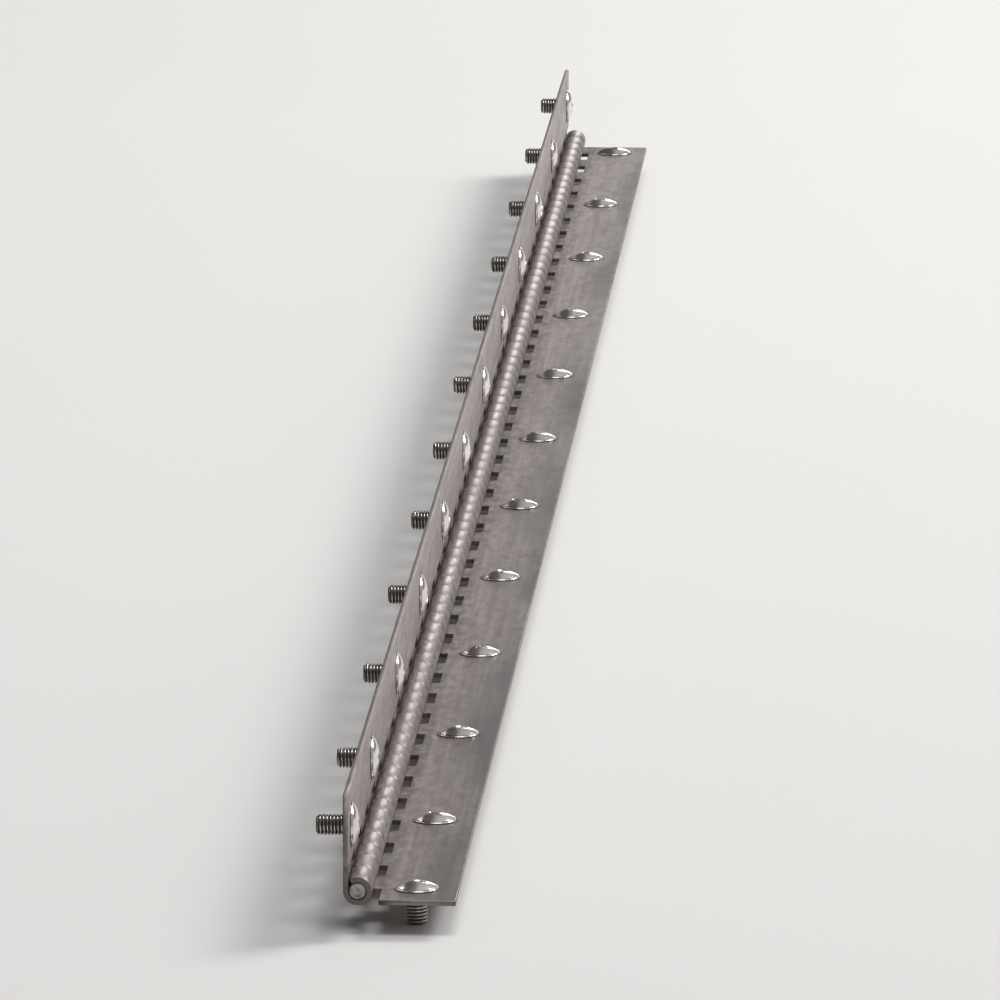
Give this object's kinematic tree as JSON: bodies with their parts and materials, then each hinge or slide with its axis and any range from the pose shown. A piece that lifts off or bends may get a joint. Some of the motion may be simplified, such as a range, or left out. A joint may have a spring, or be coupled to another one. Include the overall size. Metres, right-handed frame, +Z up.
{
  "type": "piano hinge",
  "caption": "Continuous hinge of rolled sheet steel: leaves with interlocking knuckles turn on a full-length pin, each fastened through by a row of domed screws.",
  "frame": {"origin": "on the pin's axis at mid-length", "axes": "+Y along the pin, +Z up the cabinet leaf, +X out along the bench leaf"},
  "size_m": [0.0322, 1.1176, 0.0322],
  "materials": {
    "leaf_steel": "bright zinc plate on rolled sheet, faint grain along the length",
    "pin_steel": "drawn wire, dull",
    "screw_steel": "bright zinc plate"
  },
  "bodies": {
    "cabinet_side": {"cabinet_leaf": "leaf_steel", "hinge_pin": "pin_steel", "cabinet_screw_01": "screw_steel", "cabinet_screw_02": "screw_steel", "cabinet_screw_03": "screw_steel", "cabinet_screw_04": "screw_steel", "cabinet_screw_05": "screw_steel", "cabinet_screw_06": "screw_steel", "cabinet_screw_07": "screw_steel", "cabinet_screw_08": "screw_steel", "cabinet_screw_09": "screw_steel", "cabinet_screw_10": "screw_steel", "cabinet_screw_11": "screw_steel", "cabinet_screw_12": "screw_steel"},
    "bench_side": {"bench_leaf": "leaf_steel", "bench_screw_01": "screw_steel", "bench_screw_02": "screw_steel", "bench_screw_03": "screw_steel", "bench_screw_04": "screw_steel", "bench_screw_05": "screw_steel", "bench_screw_06": "screw_steel", "bench_screw_07": "screw_steel", "bench_screw_08": "screw_steel", "bench_screw_09": "screw_steel", "bench_screw_10": "screw_steel", "bench_screw_11": "screw_steel", "bench_screw_12": "screw_steel"}
  },
  "joints": [
    {"name": "leaf_swing", "type": "hinge", "parent": "cabinet_side", "child": "bench_side", "pos_m": [0, 0, 0], "axis": [0, -1, 0], "range_deg": [-180, 90]}
  ]
}
